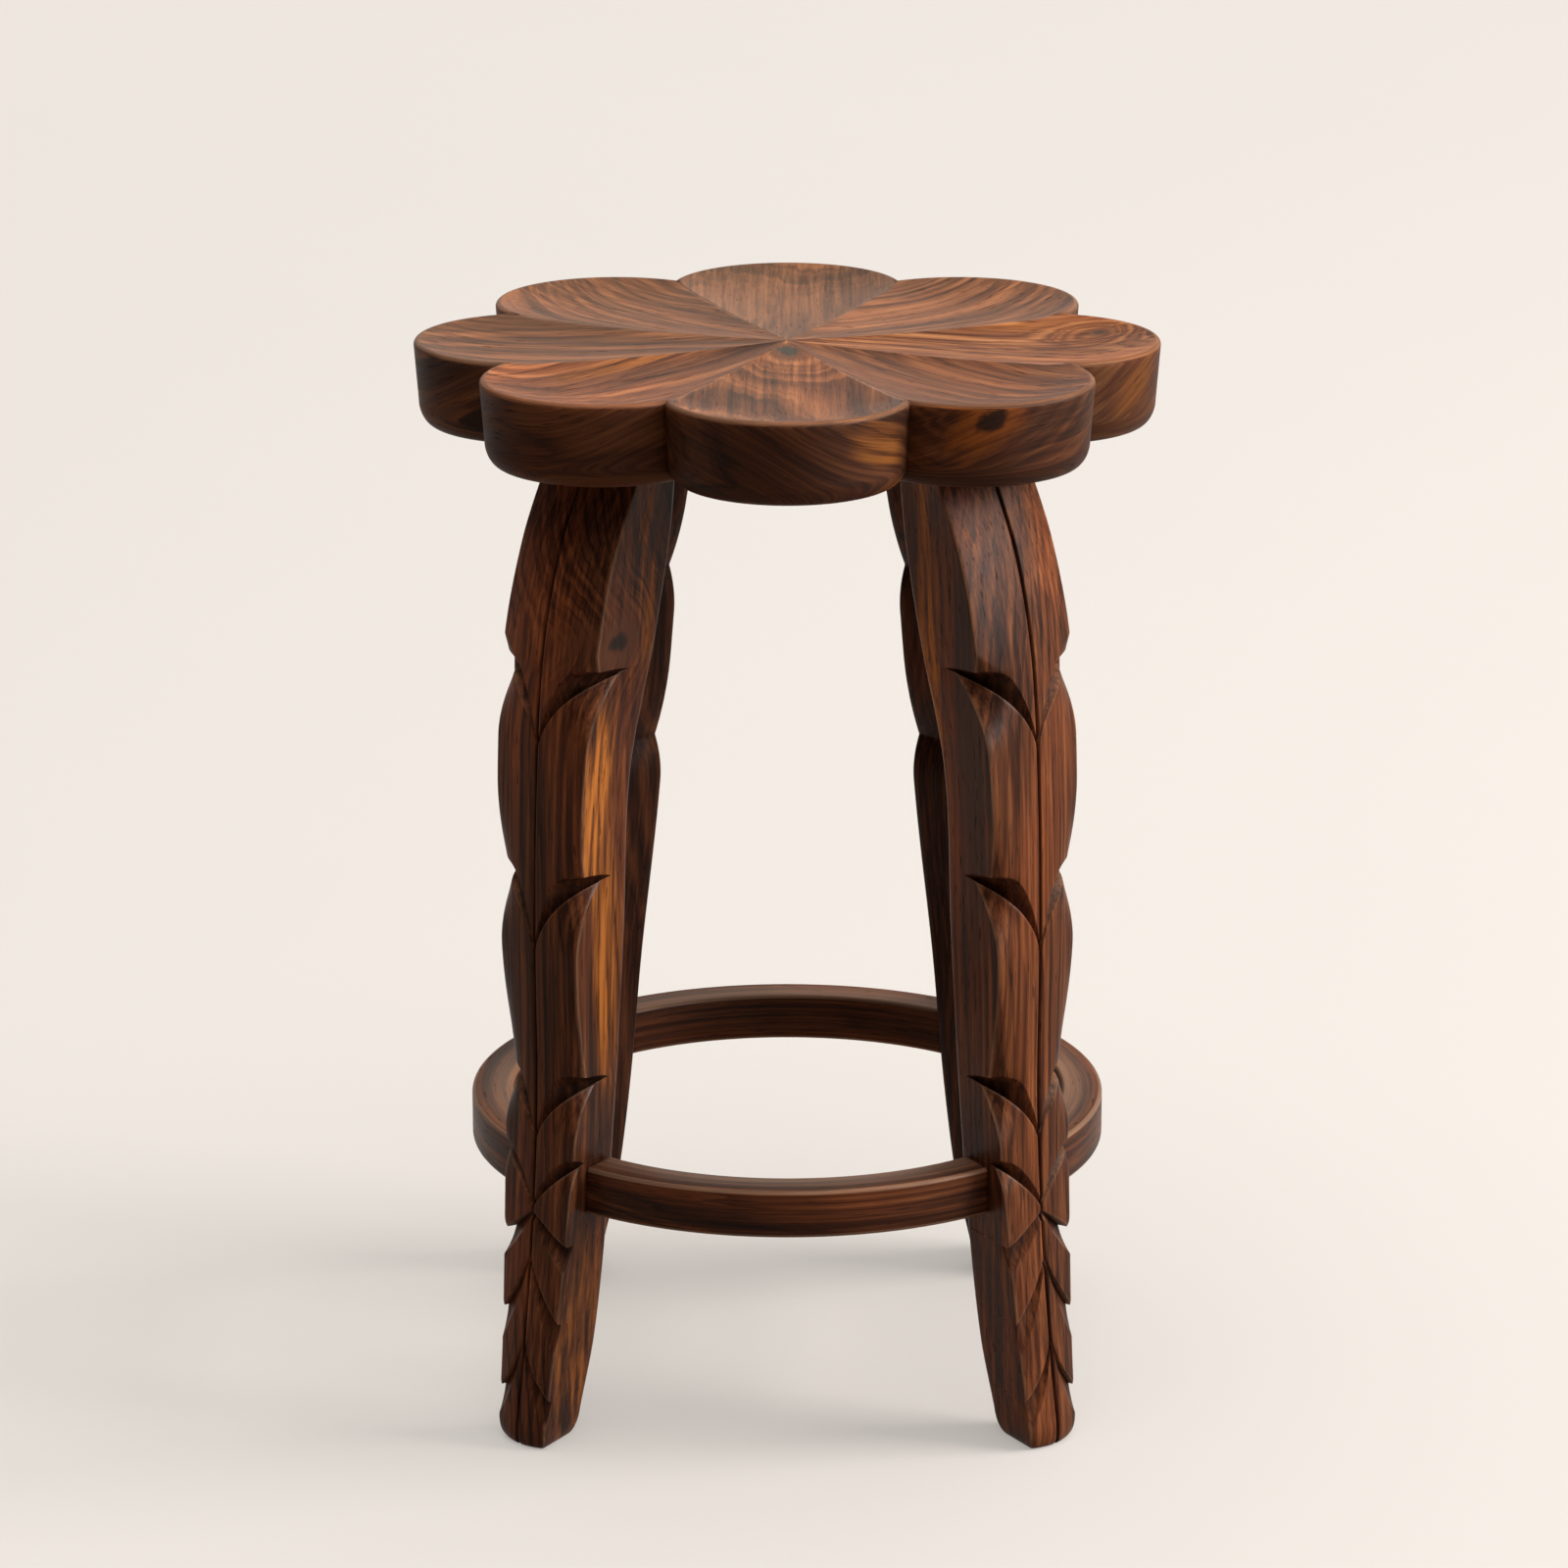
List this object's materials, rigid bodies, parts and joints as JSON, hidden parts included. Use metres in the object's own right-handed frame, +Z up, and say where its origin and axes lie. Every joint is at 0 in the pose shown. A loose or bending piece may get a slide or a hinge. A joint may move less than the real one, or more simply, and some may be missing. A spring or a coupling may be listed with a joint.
{
  "type": "counter stool",
  "caption": "Backless wooden counter stool with a flower-shaped seat of scooped petals, leaf-carved legs and a round footrest ring.",
  "frame": {"origin": "on the floor below the middle of the seat", "axes": "+Z up along the stool's axis, -Y towards the front petal, +X to the right as seen from the front"},
  "size_m": [0.457, 0.457, 0.66],
  "materials": {
    "seat_wood": "satin lacquer over figured rosewood",
    "leg_wood": "satin lacquer over carved rosewood",
    "footrest_wood": "satin lacquer over bent rosewood",
    "joint_wood": "bare planed hardwood"
  },
  "bodies": {
    "root": {"petal_right": "seat_wood", "petal_back_right": "seat_wood", "petal_back": "seat_wood", "petal_back_left": "seat_wood", "petal_left": "seat_wood", "petal_front_left": "seat_wood", "petal_front": "seat_wood", "petal_front_right": "seat_wood", "leg_back_right": "leg_wood", "leg_back_left": "leg_wood", "leg_front_left": "leg_wood", "leg_front_right": "leg_wood", "footrest_back": "footrest_wood", "footrest_left": "footrest_wood", "footrest_front": "footrest_wood", "footrest_right": "footrest_wood", "seat_spline_1": "joint_wood", "seat_spline_2": "joint_wood", "seat_spline_3": "joint_wood", "seat_spline_4": "joint_wood", "seat_spline_5": "joint_wood", "seat_spline_6": "joint_wood", "seat_spline_7": "joint_wood", "seat_spline_8": "joint_wood", "footrest_tenon_1": "joint_wood", "footrest_tenon_2": "joint_wood", "footrest_tenon_3": "joint_wood", "footrest_tenon_4": "joint_wood", "footrest_tenon_5": "joint_wood", "footrest_tenon_6": "joint_wood", "footrest_tenon_7": "joint_wood", "footrest_tenon_8": "joint_wood"}
  },
  "joints": []
}
